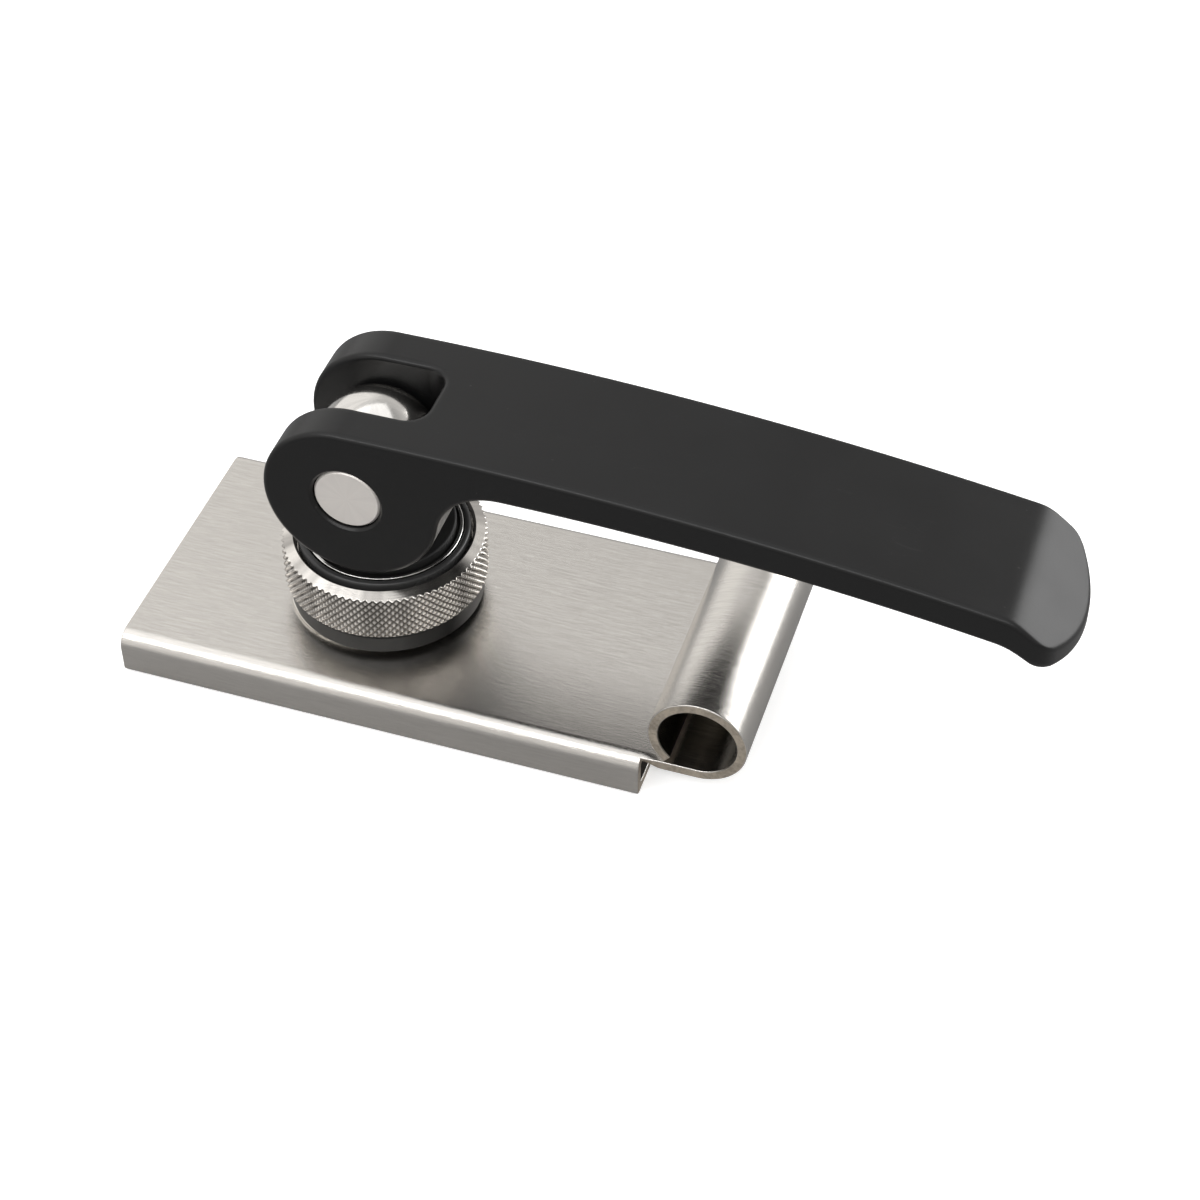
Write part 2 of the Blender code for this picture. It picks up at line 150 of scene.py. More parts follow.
def scratch_effect():
    """Fine scratches: thin level lines of two stretched noises at two angles, broken up by a third noise."""
    group, given, out = effect(
        "fine_scratches",
        [("Vector", "Vector", (0, 0, 0)), ("Scale", "Float", 60.0), ("Width", "Float", 0.006)],
        [("Mask", "Float")],
    )
    masks = []
    for turn, stretch in ((0.35, (1.0, 9.0, 9.0)), (-0.9, (1.3, 7.0, 7.0))):
        drawn = place(group, "ShaderNodeMapping", {"Vector": given["Vector"], "Rotation": (0, 0, turn),
                                                   "Scale": stretch}).outputs[0]
        masks.append(maths(group, "COMPARE", noise(group, drawn, given["Scale"], 1.0), 0.5, given["Width"]))
    some = ranged(group, noise(group, given["Vector"], 130.0, 2.0), 0.0, 1.0, 0.56, 0.66)
    group.links.new(maths(group, "MULTIPLY", maths(group, "MAXIMUM", *masks), some), out["Mask"])
    return group


grain = grain_effect()
scratches = scratch_effect()


def finish_material(name):
    """A new material; returns it, its tree and its Principled shader."""
    coat = bpy.data.materials.new(name)
    coat.use_nodes = True
    return coat, coat.node_tree, coat.node_tree.nodes["Principled BSDF"]


def object_place(tree):
    """A socket with the place on the piece, in the frame's metres."""
    return place(tree, "ShaderNodeTexCoord").outputs["Object"]


def scratched(tree, vector, scale=60.0, width=0.006):
    """The mask of fine scratches at a vector socket."""
    return place(tree, "ShaderNodeGroup", {"Vector": vector, "Scale": scale, "Width": width},
                 node_tree=scratches).outputs["Mask"]


def shaded(colour, share):
    """A colour times a share, no brighter than white."""
    return tuple(min(1.0, share * part) for part in colour)


def finished(tree, shader, colour, rough, height, strength, depth):
    """Link a finish's colour and roughness to its shader, and its relief through a bump."""
    bump = place(tree, "ShaderNodeBump", {"Height": height, "Strength": strength, "Distance": depth})
    for value, name in ((colour, "Base Color"), (rough, "Roughness"), (bump.outputs[0], "Normal")):
        tree.links.new(value, shader.inputs[name])


def brushed_steel():
    """Brushed stainless: lines and streaks along the blank's length change its colour, gloss and relief."""
    coat, tree, shader = finish_material("brushed_sheet")
    blank = place(tree, "ShaderNodeAttribute", attribute_name="blank").outputs["Vector"]
    fibre = place(tree, "ShaderNodeGroup", {"Vector": blank, "Stretch": GRAIN_STRETCH},
                  node_tree=grain).outputs
    marks = scratched(tree, blank)
    tone = ranged(tree, maths(tree, "ADD", fibre["Streaks"], fibre["Lines"]), 0.0, 1.0, 0.6, 1.4)
    gloss = maths(tree, "MULTIPLY_ADD", fibre["Streaks"], 0.12, 0.13)
    gloss = maths(tree, "MULTIPLY_ADD", noise(tree, blank, 45.0, 2.0), 0.06, gloss)
    gloss = maths(tree, "MULTIPLY_ADD", marks, -0.03, gloss)
    relief = maths(tree, "MULTIPLY_ADD", marks, -0.15, fibre["Lines"])
    colour = mixed(tree, shaded(STEEL, 0.86), shaded(STEEL, 1.08), tone)
    finished(tree, shader, colour, gloss, relief, 0.75, 0.00003)
    shader.inputs["Metallic"].default_value = 1.0
    return coat


def painted_shade(coat, label, part, shade_colour, most, start, end):
    """Darken a finish as one part of an attribute goes from start to end: painted shade, standing for the shade
    that falls in a recess.
    """
    tree = coat.node_tree
    shader = tree.nodes["Principled BSDF"]
    layer = place(tree, "ShaderNodeAttribute", attribute_name=label).outputs["Vector"]
    depth = place(tree, "ShaderNodeSeparateXYZ", {0: layer}).outputs[part]
    unshaded = shader.inputs["Base Color"].links[0].from_socket
    share = ranged(tree, depth, 0.0, most, start, end)
    blend = place(tree, "ShaderNodeMix", {"Factor": share}, data_type="RGBA")
    tree.links.new(unshaded, blend.inputs[6])
    blend.inputs[7].default_value = (*shade_colour, 1.0)
    tree.links.new(blend.outputs[2], shader.inputs["Base Color"])


def cut_edge_steel():
    """Sheared edge of the sheet: dull and warm, with fine speckle and stains."""
    coat, tree, shader = finish_material("cut_edge")
    where = object_place(tree)
    speckle = noise(tree, where, 2600.0, 3.0)
    stain = noise(tree, where, 420.0, 2.0)
    tone = ranged(tree, maths(tree, "ADD", speckle, stain), 0.0, 1.0, 0.75, 1.25)
    colour = mixed(tree, shaded(CUT_STEEL, 0.72), shaded(CUT_STEEL, 1.15), tone)
    finished(tree, shader, colour, ranged(tree, stain, 0.5, 0.68), speckle, 0.3, 0.00004)
    shader.inputs["Metallic"].default_value = 0.75
    return coat


def eased(radius, distance):
    """How deep a surface has sunk at a distance from its edge, for a quarter round of that radius."""
    gap = np.clip(radius - distance, 0.0, radius)
    return radius - np.sqrt(radius ** 2 - gap ** 2)


def edge_steps(radius, steps=5):
    """Distances from an edge at equal turns of its quarter round, and one past it that keeps the rest flat."""
    turn = np.linspace(0.0, math.pi / 2, steps + 1)
    return np.append(radius * (1 - np.cos(turn)), 1.5 * radius)


def smooth_step(t):
    """0 before 0, 1 after 1, and an even S between."""
    t = np.clip(t, 0.0, 1.0)
    return t * t * (3 - 2 * t)


def make_piece(name, patches, coats, body, nodes):
    """One closed object from grids of points in millimetres.

    A patch is (points, coat number, attributes), where points are rows by columns by 3 and an attribute's
    array has a vector for each point. Neighbouring patches share their border points, which are merged,
    and the faces are turned outward.
    """
    mesh = bpy.data.meshes.new(name)
    spots = [np.asarray(points, float).reshape(-1, 3) * MM for points, _, _ in patches]
    faces = []
    choice = []
    first = 0
    for points, coat, _ in patches:
        rows, columns = points.shape[:2]
        corner = first + np.arange(rows * columns).reshape(rows, columns)
        quads = np.stack([corner[:-1, :-1], corner[:-1, 1:], corner[1:, 1:], corner[1:, :-1]], -1)
        quads = quads.reshape(-1, 4)
        faces.append(quads)
        choice.append(np.full(len(quads), coat))
        first += rows * columns
    mesh.from_pydata(np.concatenate(spots).tolist(), [], np.concatenate(faces).tolist())
    mesh.polygons.foreach_set("material_index", np.concatenate(choice).astype(np.int32))
    for label in patches[0][2]:
        layer = mesh.attributes.new(label, "FLOAT_VECTOR", "POINT")
        values = np.concatenate([np.asarray(extra[label], float).reshape(-1, 3) for _, _, extra in patches])
        layer.data.foreach_set("vector", values.astype(np.float32).ravel())
    form = bmesh.new()
    form.from_mesh(mesh)
    bmesh.ops.remove_doubles(form, verts=form.verts, dist=1e-6)
    bmesh.ops.recalc_face_normals(form, faces=form.faces)
    form.to_mesh(mesh)
    form.free()
    for coat in coats:
        mesh.materials.append(coat)
    mesh.shade_smooth()
    piece = bpy.data.objects.new(name, mesh)
    bpy.context.scene.collection.objects.link(piece)
    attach(piece, body)
    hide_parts(*nodes)
    return piece


def half_section():
    """Half of the slide's section: outer and inner line as (y, depth under the top), and length along it.

    Flat top, bend, wall, lip bend and lip follow each other. A bend is an arc about one centre for the outer
    line, and about its own for the inner line.
    """
    half = slide_high[1]
    bend_y = half - TOP_BEND
    flat = np.concatenate([np.linspace(0, HOLE_BLOCK, 9), np.linspace(HOLE_BLOCK, bend_y - 0.3, 9)[1:],
                           [bend_y - 0.1]])
    tongue_turn = math.asin((TOP_BEND - TONGUE_SETBACK) / TOP_BEND)
    near = tongue_turn - edge_steps(CUT_ROUND)[::-1] / TOP_BEND
    turn = np.concatenate([np.linspace(0, near[0], 6)[:-1], near,
                           np.linspace(tongue_turn, math.pi / 2, 12)[1:]])
    lip_turn = np.linspace(0, math.pi / 2, 11)
    wall = np.linspace(0, 1, 6)[1:-1]
    lip = np.concatenate([np.linspace(0, 1, 7)[1:-1] * (LIP_WIDTH - LIP_BEND - 0.5),
                          LIP_WIDTH - LIP_BEND - edge_steps(CUT_ROUND)[::-1]])
    outer = [np.stack([flat, 0 * flat], -1),
             np.stack([bend_y + TOP_BEND * np.sin(turn), TOP_BEND * (1 - np.cos(turn))], -1),
             np.stack([half + 0 * wall, TOP_BEND + (SLIDE_HEIGHT - LIP_BEND - TOP_BEND) * wall], -1),
             np.stack([half - LIP_BEND * (1 - np.cos(lip_turn)),
                       SLIDE_HEIGHT - LIP_BEND * (1 - np.sin(lip_turn))], -1),
             np.stack([half - LIP_BEND - lip, SLIDE_HEIGHT + 0 * lip], -1)]
    inside = TOP_BEND - SHEET
    face = half - SHEET
    floor = SLIDE_HEIGHT - SHEET
    inner_start = face - LIP_INNER
    inner_lip = inner_start - (inner_start - (half - LIP_WIDTH)) * lip / (LIP_WIDTH - LIP_BEND)
    inner = [np.stack([flat, SHEET + 0 * flat], -1),
             np.stack([bend_y + inside * np.sin(turn), TOP_BEND - inside * np.cos(turn)], -1),
             np.stack([face + 0 * wall, TOP_BEND + (floor - LIP_INNER - TOP_BEND) * wall], -1),
             np.stack([face - LIP_INNER * (1 - np.cos(lip_turn)),
                       floor - LIP_INNER * (1 - np.sin(lip_turn))], -1),
             np.stack([inner_lip, floor + 0 * lip], -1)]
    outer = np.concatenate(outer)
    inner = np.concatenate(inner)
    along = np.append(0.0, np.cumsum(np.hypot(*np.diff(outer, axis=0).T)))
    tongue_edge = len(flat) + int(np.argmin(abs(turn - tongue_turn)))
    return outer, inner, along, tongue_edge


def slide_patches():
    """The folded sheet as two skins, the sheared edges between them, and the rings around the keyed hole.

    Rows run along the blank and columns across it. A row has a place and a direction through the sheet; a
    column has its depths from the section. Rows of the roll turn about the tube's axis. Near a sheared edge
    both skins sink towards each other by a quarter round.
    """
    outer, inner, along, edge = half_section()
    mirror = np.array([-1.0, 1.0])
    outer = np.concatenate([outer[:0:-1] * mirror, outer])
    inner = np.concatenate([inner[:0:-1] * mirror, inner])
    across = np.concatenate([-along[:0:-1], along])
    middle = len(along) - 1
    tongue = slice(middle - edge, middle + edge + 1)
    width = along[edge]

    ends = edge_steps(CUT_ROUND)
    hole_at = stud_x - slide_low[0]
    rows = np.concatenate([ends, np.linspace(ends[-1], hole_at - HOLE_BLOCK, 14)[1:-1],
                           np.linspace(hole_at - HOLE_BLOCK, hole_at + HOLE_BLOCK, 17),
                           np.linspace(hole_at + HOLE_BLOCK, SLIDE_LENGTH - ends[-1], 24)[1:-1],
                           SLIDE_LENGTH - ends[::-1]])
    channel = len(rows)
    tube = np.array([slide_high[0] - TUBE_RADIUS, slide_high[2] - TUBE_RADIUS])
    flat = np.linspace(SLIDE_LENGTH, tube[0] - slide_low[0], 17)[1:-1]
    stop = math.pi + math.asin((TUBE_RADIUS - SHEET - ROLL_GAP) / TUBE_RADIUS)
    bore = TUBE_RADIUS - SHEET
    turn = np.concatenate([np.linspace(-math.pi / 2, stop - ends[-1] / bore, 120)[:-1],
                           stop - ends[::-1] / bore])
    middle_radius = TUBE_RADIUS - SHEET / 2
    lengths = np.concatenate([rows, flat, tube[0] - slide_low[0] + (turn + math.pi / 2) * middle_radius])
    base = np.concatenate([
        np.stack([slide_low[0] + np.append(rows, flat), np.full(channel + len(flat), SLIDE_HEIGHT)], -1),
        tube + bore * np.stack([np.cos(turn), np.sin(turn)], -1)])
    through = np.concatenate([np.tile([0.0, -1.0], (channel + len(flat), 1)),
                              np.stack([np.cos(turn), np.sin(turn)], -1)])
    level = smooth_step((lengths - SLIDE_LENGTH) / FLATTEN)[:, None]

    def skin(y, depth):
        place_x = base[:, 0, None] + through[:, 0, None] * depth
        place_z = base[:, 1, None] + through[:, 1, None] * depth
        return np.stack([place_x, y, place_z], -1)

    ones = np.ones_like(level)
    upper = skin(outer[:, 0] * ones, outer[:, 1] * (1 - level))
    lower = skin(inner[:, 0] * (1 - level) + outer[:, 0] * level, inner[:, 1] * (1 - level) + SHEET * level)

    length = lengths[:, None]
    side = width - abs(across)
    end_edge = np.where(side < 0, SLIDE_LENGTH - length, np.hypot(SLIDE_LENGTH - length, side))
    last = lengths[-1] - length
    distance = np.where(length <= SLIDE_LENGTH + 1e-9,
                        np.minimum(np.minimum(length, along[-1] - abs(across)), end_edge),
                        np.minimum(np.maximum(side, 0), last * bore / middle_radius))
    toward = lower - upper
    toward = toward / np.linalg.norm(toward, axis=-1, keepdims=True)
    sink = eased(CUT_ROUND, distance)[..., None] * toward
    upper = upper + sink
    lower = lower - sink
    blank = np.stack([length + 0 * across, across + 0 * length, 0 * length * across], -1) * MM
    # Painted shade: the blank's Z rises over the start of the roll, so the tube's inner face is darkened.
    rolled = smooth_step((lengths - (tube[0] - slide_low[0]) - 1.0) / 5.0)
    inside_blank = blank.copy()
    inside_blank[..., 2] = rolled[:, None] * MM

    patches = []
    share = np.array([0.0, 0.1, 0.5, 0.9, 1.0])[:, None, None]

    def strip(rows_of, columns_of):
        one = upper[rows_of, columns_of].reshape(-1, 3)
        two = lower[rows_of, columns_of].reshape(-1, 3)
        flow = np.tile(blank[rows_of, columns_of].reshape(1, -1, 3), (len(share), 1, 1))
        patches.append((one + (two - one) * share, 1, {"blank": flow}))

    first_row = int(np.argmin(abs(rows - (hole_at - HOLE_BLOCK))))
    last_row = int(np.argmin(abs(rows - (hole_at + HOLE_BLOCK))))
    first_column = int(np.argmin(abs(outer[:, 0] + HOLE_BLOCK)))
    last_column = 2 * middle - first_column
    around = [(i, first_column) for i in range(first_row, last_row)]
    around += [(last_row, j) for j in range(first_column, last_column)]
    around += [(i, last_column) for i in range(last_row, first_row, -1)]
    around += [(first_row, j) for j in range(last_column, first_column - 1, -1)]
    around = tuple(np.array(around).T)
    for surface in (upper, lower):
        rim = surface[around]
        angle = np.arctan2(rim[:, 1], rim[:, 0] - stud_x)
        reach = np.minimum(HOLE_RADIUS, HOLE_FLAT / np.maximum(abs(np.sin(angle)), 1e-9))
        hole = np.stack([stud_x + reach * np.cos(angle), reach * np.sin(angle), rim[:, 2]], -1)
        web = rim + (hole - rim) * np.array([0.0, 0.4, 0.8, 0.97, 1.0])[:, None, None]
        flow = (web - [slide_low[0], 0, 0]) * [MM, MM, 0]
        patches.append((web, 0, {"blank": flow}))
    wall = np.stack([patches[0][0][-1], patches[1][0][-1]])
    patches.append((wall, 1, {"blank": wall * 0}))
    for surface, flow in ((upper, inside_blank), (lower, blank)):
        for rows_of, columns_of in (
            (slice(0, first_row + 1), slice(None)),
            (slice(first_row, last_row + 1), slice(0, first_column + 1)),
            (slice(first_row, last_row + 1), slice(last_column, None)),
            (slice(last_row, channel), slice(None)),
            (slice(channel - 1, None), tongue),
        ):
            patches.append((surface[rows_of, columns_of], 0, {"blank": flow[rows_of, columns_of]}))
    strip(slice(0, channel), 0)
    strip(slice(0, channel), -1)
    strip(0, slice(None))
    strip(channel - 1, slice(0, tongue.start + 1))
    strip(channel - 1, slice(tongue.stop - 1, None))
    strip(slice(channel - 1, None), tongue.start)
    strip(slice(channel - 1, None), tongue.stop - 1)
    strip(-1, tongue)
    return patches


sheet_coat = brushed_steel()
# Painted shade darkens the inner face of the rolled tube.
painted_shade(sheet_coat, "blank", "Z", TUBE_SHADE, TUBE_SHADE_SHARE, 0.0, MM)
make_piece("slide_sheet", slide_patches(), [sheet_coat, cut_edge_steel()], "base", ["base_plate"])


# Slip washer
# A thin loose steel ring under the bush, pushed off the axis by its slack. It is blanked and then turned
# flat, so its faces carry fine rings.

washer_low, washer_high = corners("slip_washer")
WASHER_BORE = 8.7
WASHER_REST = 0.04  # gap that is left over the slide
TURNED_STEEL = (0.68, 0.66, 0.62)


def rounded(corners, steps=5):
    """Closed outline from corners (radius, height, fillet), each fillet an arc that touches both its sides.

    A point just past each arc's ends keeps the straight sides straight when they are shaded.
    """
    spots = np.array([corner[:2] for corner in corners], float)
    outline = []
    for k, corner in enumerate(corners):
        here = spots[k]
        back = spots[k - 1] - here
        ahead = spots[(k + 1) % len(spots)] - here
        back = back / np.linalg.norm(back)
        ahead = ahead / np.linalg.norm(ahead)
        half = math.acos(float(np.clip(back @ ahead, -1, 1))) / 2
        fillet = corner[2]
        middle = back + ahead
        centre = here + middle / np.linalg.norm(middle) * fillet / math.sin(half)
        reach = fillet / math.tan(half)
        start = here + back * reach - centre
        end = here + ahead * reach - centre
        begin = math.atan2(start[1], start[0])
        sweep = (math.atan2(end[1], end[0]) - begin + math.pi) % (2 * math.pi) - math.pi
        turn = begin + sweep * np.linspace(0, 1, steps + 1)
        arc = centre + fillet * np.stack([np.cos(turn), np.sin(turn)], -1)
        rest = 0.3 * fillet
        outline += [here + back * (reach + rest), *arc, here + ahead * (reach + rest)]
    return np.array(outline)


def revolved(outline, centre, steps=180, axis=2, shape=None):
    """A grid of points from an outline turned about an axis: rows follow the outline, columns the turn.

    An outline that starts on the axis is solid, and ends on it too; any other is closed into a ring. shape,
    if given, changes the radius at each height and angle.
    """
    if outline[0, 0] > 0:
        outline = np.concatenate([outline, outline[:1]])
    turn = np.linspace(0, 2 * math.pi, steps + 1)
    radius = outline[:, 0, None] + 0 * turn
    height = outline[:, 1, None] + 0 * turn
    if shape:
        radius = shape(radius, height, turn + 0 * radius)
    radius[:, -1] = radius[:, 0]
    flat = [radius * np.cos(turn), radius * np.sin(turn)]
    flat[1][:, -1] = flat[1][:, 0]
    order = [flat[0], flat[1], height] if axis == 2 else [flat[0], height, flat[1]]
    return np.stack(order, -1) + centre


def to_axis(outline):
    """An outline with its points near the axis replaced by one point on it at each end."""
    kept = outline[outline[:, 0] > 0.05]
    return np.concatenate([[[0.0, kept[0, 1]]], kept, [[0.0, kept[-1, 1]]]])


def turning_effect():
    """Turning marks: rings about an axis from noise on the distance to it and a little on the turn, and a
    painted reflection from noise on the direction about the axis, in light and dark sectors.
    """
    group, given, out = effect(
        "turning_marks_and_painted_reflection",
        [("Vector", "Vector", (0, 0, 0)), ("Rings", "Float", 9000.0)],
        [("Marks", "Float"), ("Painted Reflection", "Float")],
    )
    parts = place(group, "ShaderNodeSeparateXYZ", {0: given["Vector"]}).outputs
    flat = place(group, "ShaderNodeCombineXYZ", {"X": parts["X"], "Y": parts["Y"]}).outputs[0]
    radius = place(group, "ShaderNodeVectorMath", {0: flat}, operation="LENGTH").outputs["Value"]
    ring = maths(group, "MULTIPLY", maths(group, "ADD", radius, parts["Z"]), given["Rings"])
    chord = maths(group, "MULTIPLY", maths(group, "ARCTAN2", parts["Y"], parts["X"]), 1.5)
    spot = place(group, "ShaderNodeCombineXYZ", {"X": ring, "Y": chord}).outputs[0]
    round_about = place(group, "ShaderNodeVectorMath", {0: flat}, operation="NORMALIZE").outputs[0]
    group.links.new(noise(group, spot, 1.0, 3.0), out["Marks"])
    group.links.new(noise(group, round_about, 3.5, 2.0), out["Painted Reflection"])
    return group


turning = turning_effect()


def turned_steel(name, colour, gloss, centre, rings=9000.0, tilt=(0.0, 0.0, 0.0), relief=0.25,
                 reflection_share=1.0, reflection_dark=0.78, metal=1.0):
    """Lathe-turned steel about an axis through centre: rings in its relief, and a painted reflection of lighter
    and darker sectors in its colour.
    """
    coat, tree, shader = finish_material(name)
    where = object_place(tree)
    moved = place(tree, "ShaderNodeVectorMath", {0: where, 1: tuple(np.array(centre) * MM)},
                  operation="SUBTRACT").outputs[0]
    local = place(tree, "ShaderNodeMapping", {"Vector": moved, "Rotation": tilt}).outputs[0]
    lathe = place(tree, "ShaderNodeGroup", {"Vector": local, "Rings": rings}, node_tree=turning).outputs
    # Painted reflection: the colour lightens and darkens in sectors about the axis, standing for the way turned
    # steel reflects light.
    reflection_sectors = ranged(tree, lathe["Painted Reflection"], 0.5 - reflection_share / 2, 0.5 + reflection_share / 2, 0.35, 0.65)
    tone = mixed(tree, shaded(colour, reflection_dark), shaded(colour, 1.12), reflection_sectors)
    rough = maths(tree, "MULTIPLY_ADD", lathe["Marks"], 0.16, gloss - 0.08)
    depth = maths(tree, "MULTIPLY_ADD", scratched(tree, where, 140.0), -0.5, lathe["Marks"])
    finished(tree, shader, tone, rough, depth, relief, 0.00003)
    shader.inputs["Metallic"].default_value = metal
    return coat


def turned_piece(name, outline, coat, body, node, centre=stud_axis, shape=None):
    """A closed piece of one outline turned about an upright axis."""
    make_piece(name, [(revolved(outline, centre, shape=shape), 0, {})], [coat], body, [node])


washer_centre = ((washer_low[0] + washer_high[0]) / 2, 0.0, 0.0)
washer_radius = (washer_high[0] - washer_low[0]) / 2
washer_foot = SLIDE_HEIGHT + WASHER_REST
washer_outline = rounded([(WASHER_BORE, washer_foot, 0.1), (washer_radius, washer_foot, 0.12),
                          (washer_radius, washer_high[2], 0.12), (WASHER_BORE, washer_high[2], 0.1)])
washer_coat = turned_steel("washer_steel", TURNED_STEEL, 0.26, washer_centre)
turned_piece("washer_ring", washer_outline, washer_coat, "base", "slip_washer", washer_centre)


# Threaded bush
# Moulded black bush: a round flange on the slide, a keyed spigot in the sheet's hole below, and the
# adjuster's thread above. Its bore lets the stud through.

BUSH_BORE = 4.3
FLANGE_BASE = washer_high[2] + 0.05  # rests on the washer
FLANGE_TOP = washer_high[2] + 3.3
THREAD_RADIUS = 9.0
THREAD_PITCH = 1.5
THREAD_DEPTH = 0.6
SPIGOT_RADIUS = 6.8
SPIGOT_FLAT = 5.6
BLACK_PLASTIC = (0.006, 0.006, 0.006)


def moulded_black(name, gloss, colour):
    """Moulded black plastic: a faint eggshell relief, a few scuffs, and gloss that varies in soft clouds."""
    coat, tree, shader = finish_material(name)
    where = object_place(tree)
    clouds = noise(tree, where, 180.0, 3.0)
    tint = maths(tree, "MULTIPLY_ADD", scratched(tree, where, 110.0), 0.5, clouds)
    tone = mixed(tree, colour, shaded(colour, 1.7), ranged(tree, tint, 0.0, 1.0, 0.3, 1.1))
    rough = ranged(tree, clouds, gloss - 0.07, gloss + 0.09, 0.3, 0.7)
    finished(tree, shader, tone, rough, noise(tree, where, 2400.0, 2.0), 0.15, 0.00002)
    shader.inputs["Specular IOR Level"].default_value = 0.3
    return coat


def thread_shape(radius, height, turn):
    """The bush's radius: a V thread rises one pitch a turn above the flange, and two flats cut the spigot."""
    crest = abs(2 * ((height / THREAD_PITCH - turn / (2 * math.pi)) % 1) - 1)
    threaded = (radius > THREAD_RADIUS - 0.2) & (height > FLANGE_TOP + 0.4) & (radius < THREAD_RADIUS + 0.1)
    radius = np.where(threaded, radius - THREAD_DEPTH * crest, radius)
    flat = SPIGOT_FLAT / np.maximum(abs(np.sin(turn)), 1e-9)
    return np.where(height < FLANGE_BASE - 0.05, np.minimum(radius, np.maximum(flat, BUSH_BORE)), radius)


def finer(outline, step, low, high):
    """An outline with extra points along its near-vertical sides between two heights."""
    points = []
    for one, two in zip(outline, np.roll(outline, -1, axis=0)):
        points.append(one[None])
        run = abs(two[1] - one[1])
        if run > step and min(one[1], two[1]) >= low and max(one[1], two[1]) <= high:
            share = np.linspace(0, 1, int(run / step) + 2)[1:-1, None]
            points.append(one + (two - one) * share)
    return np.concatenate(points)


flange_radius = (bush_high[0] - bush_low[0]) / 2
bush_outline = rounded([
    (BUSH_BORE, bush_low[2], 0.2), (SPIGOT_RADIUS, bush_low[2], 0.2), (SPIGOT_RADIUS, FLANGE_BASE, 0.05),
    (flange_radius, FLANGE_BASE, 0.35), (flange_radius, FLANGE_TOP, 0.45), (THREAD_RADIUS, FLANGE_TOP, 0.2),
    (THREAD_RADIUS, bush_high[2], 0.3), (BUSH_BORE, bush_high[2], 0.2)])
bush_outline = finer(bush_outline, 0.19, FLANGE_TOP, bush_high[2])
bush_coat = moulded_black("bush_black", 0.36, BLACK_PLASTIC)
turned_piece("bush_disc", bush_outline, bush_coat, "base", "threaded_bush",
             shape=thread_shape)


# Knurled nut
# Turned steel adjuster with a diamond knurl rolled into its rim, a broad turned chamfer above it and a
# counterbore that the thrust cup sits in.

nut_low, nut_high = corners("knurled_nut")
NUT_BORE = 9.3
NUT_SEAT = 12.9
NUT_SEAT_HEIGHT = 5.0
NUT_RIM = 13.3
NUT_CHAMFER_DROP = 0.74
KNURL_COUNT = 84
KNURL_RISE = 1.2  # height of one diamond
KNURL_DEPTH = 0.42
KNURL_STEPS = 8  # points across one diamond
KNURL_FLAT = 0.12  # share of a diamond that is left flat on top
NUT_FOOT_CHAMFER = 0.4
NUT_STEEL = (0.74, 0.71, 0.67)
# Painted shade in the knurl's grooves: its colour.
KNURL_SHADE = (0.035, 0.028, 0.022)
nut_radius = (nut_high[0] - nut_low[0]) / 2


def knurl_shape(radius, height, turn):
    """The nut's radius under its knurl: two sets of V grooves wind opposite ways, the deeper one wins."""
    lift = height / KNURL_RISE
    wind = KNURL_COUNT * turn / (2 * math.pi)
    groove = np.maximum(abs(2 * ((wind + lift) % 1) - 1), abs(2 * ((wind - lift) % 1) - 1))
    depth = KNURL_DEPTH * np.clip((groove - KNURL_FLAT) / (1 - KNURL_FLAT), 0, 1)
    cut = nut_radius - depth
    return np.where(radius > nut_radius - KNURL_DEPTH, np.minimum(radius, cut), radius)


def nut_outline():
    """Half section of the nut, with close points up the knurl and across the start of the chamfer."""
    top = nut_high[2]
    low = nut_low[2]
    foot = low + NUT_FOOT_CHAMFER
    inner = rounded([(nut_radius, top - NUT_CHAMFER_DROP, 0.01), (NUT_RIM, top, 0.06),
                     (NUT_SEAT, top - (NUT_RIM - NUT_SEAT), 0.05), (NUT_SEAT, low + NUT_SEAT_HEIGHT, 0.1),
                     (NUT_BORE, low + NUT_SEAT_HEIGHT, 0.2), (NUT_BORE, low, 0.3),
                     (nut_radius - NUT_FOOT_CHAMFER, low, 0.1), (nut_radius, foot, 0.01)], 4)
    steps = KNURL_STEPS * int(round((top - NUT_CHAMFER_DROP - foot) / KNURL_RISE))
    knurl = np.stack([np.full(steps, nut_radius), np.linspace(foot, top - NUT_CHAMFER_DROP, steps)], -1)
    slope = NUT_CHAMFER_DROP / (nut_radius - NUT_RIM)
    run = np.linspace(0.02, KNURL_DEPTH + 0.06, 9)
    chamfer = np.stack([nut_radius - run, top - NUT_CHAMFER_DROP + slope * run], -1)
    base = np.stack([nut_radius - run[::-1], foot - run[::-1]], -1)
    inner = inner[inner[:, 0] < nut_radius - KNURL_DEPTH - 0.08]
    return np.concatenate([knurl, chamfer, inner, base])


def nut_patch():
    """The nut's surface, with the depth of the knurl's grooves as an attribute for the painted shade in them.
    """
    points = revolved(nut_outline(), stud_axis, KNURL_STEPS * KNURL_COUNT, shape=knurl_shape)
    radius = np.hypot(points[..., 0] - stud_x, points[..., 1])
    depth = np.where(radius > nut_radius - KNURL_DEPTH - 0.01, (nut_radius - radius) / KNURL_DEPTH, 0)
    deep = np.where(points[..., 2] < nut_high[2] - NUT_CHAMFER_DROP + 0.01, depth, 0)
    return points, 0, {"groove": np.stack([deep, 0 * deep, 0 * deep], -1)}


nut_coat = turned_steel("nut_steel", NUT_STEEL, 0.2, stud_axis, 7000.0, reflection_dark=0.5)
# Painted shade darkens the knurl's grooves by their depth.
painted_shade(nut_coat, "groove", "X", KNURL_SHADE, 0.93, 0.3, 0.95)
make_piece("adjuster_nut", [nut_patch()], [nut_coat], "nut", ["knurled_nut"])


# Thrust cup
# Black moulded cup that turns freely in the nut's counterbore and carries the cam pad. Its rim is rounded
# and polished by the nut.

